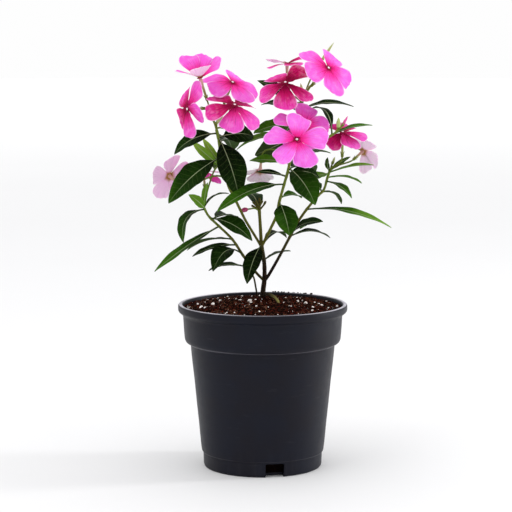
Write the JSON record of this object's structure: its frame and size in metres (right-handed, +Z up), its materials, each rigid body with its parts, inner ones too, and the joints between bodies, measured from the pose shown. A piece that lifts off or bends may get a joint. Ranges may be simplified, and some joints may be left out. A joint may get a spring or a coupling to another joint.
{
  "type": "potted madagascar periwinkle",
  "caption": "Potted madagascar periwinkle: a branching leafy plant with pink five-petalled blooms, standing in soil in a plain black plastic nursery pot.",
  "frame": {"origin": "centre of the pot's underside, on the surface that the pot stands on", "axes": "+Z up along the pot's axis, +X to the right of the plant's showiest side, which faces -Y"},
  "size_m": [0.1836, 0.13, 0.3251],
  "materials": {
    "pot_plastic": "near-black moulded plastic, satin, with soft highlights on the lip and collar",
    "potting_mix": "loose dark reddish-brown potting mix with white perlite grains",
    "bark": "thin brown bark, matt, with pale flecks",
    "foliage": "glossy dark green leaves with a pale midrib, on smooth green stems",
    "petals": "soft magenta-pink petals, deeper towards a small white eye, with paler undersides"
  },
  "bodies": {
    "root": {"pot": "pot_plastic", "soil": "potting_mix", "trunk": "bark", "centre_stem": "foliage", "right_stem": "foliage", "front_stem": "foliage", "left_stem": "foliage", "low_left_stem": "foliage", "shoot": "foliage", "bloom_left_top": "petals", "bloom_left_upper": "petals", "bloom_left_front": "petals", "bloom_left_low": "petals", "bloom_right_top": "petals", "bloom_right_back": "petals", "bloom_right_inner": "petals", "bloom_front": "petals", "bloom_front_behind": "petals", "bloom_far_right": "petals", "bloom_right_pale": "petals", "bloom_left_pale": "petals", "bloom_middle_left": "petals", "bloom_middle": "petals"}
  },
  "joints": []
}
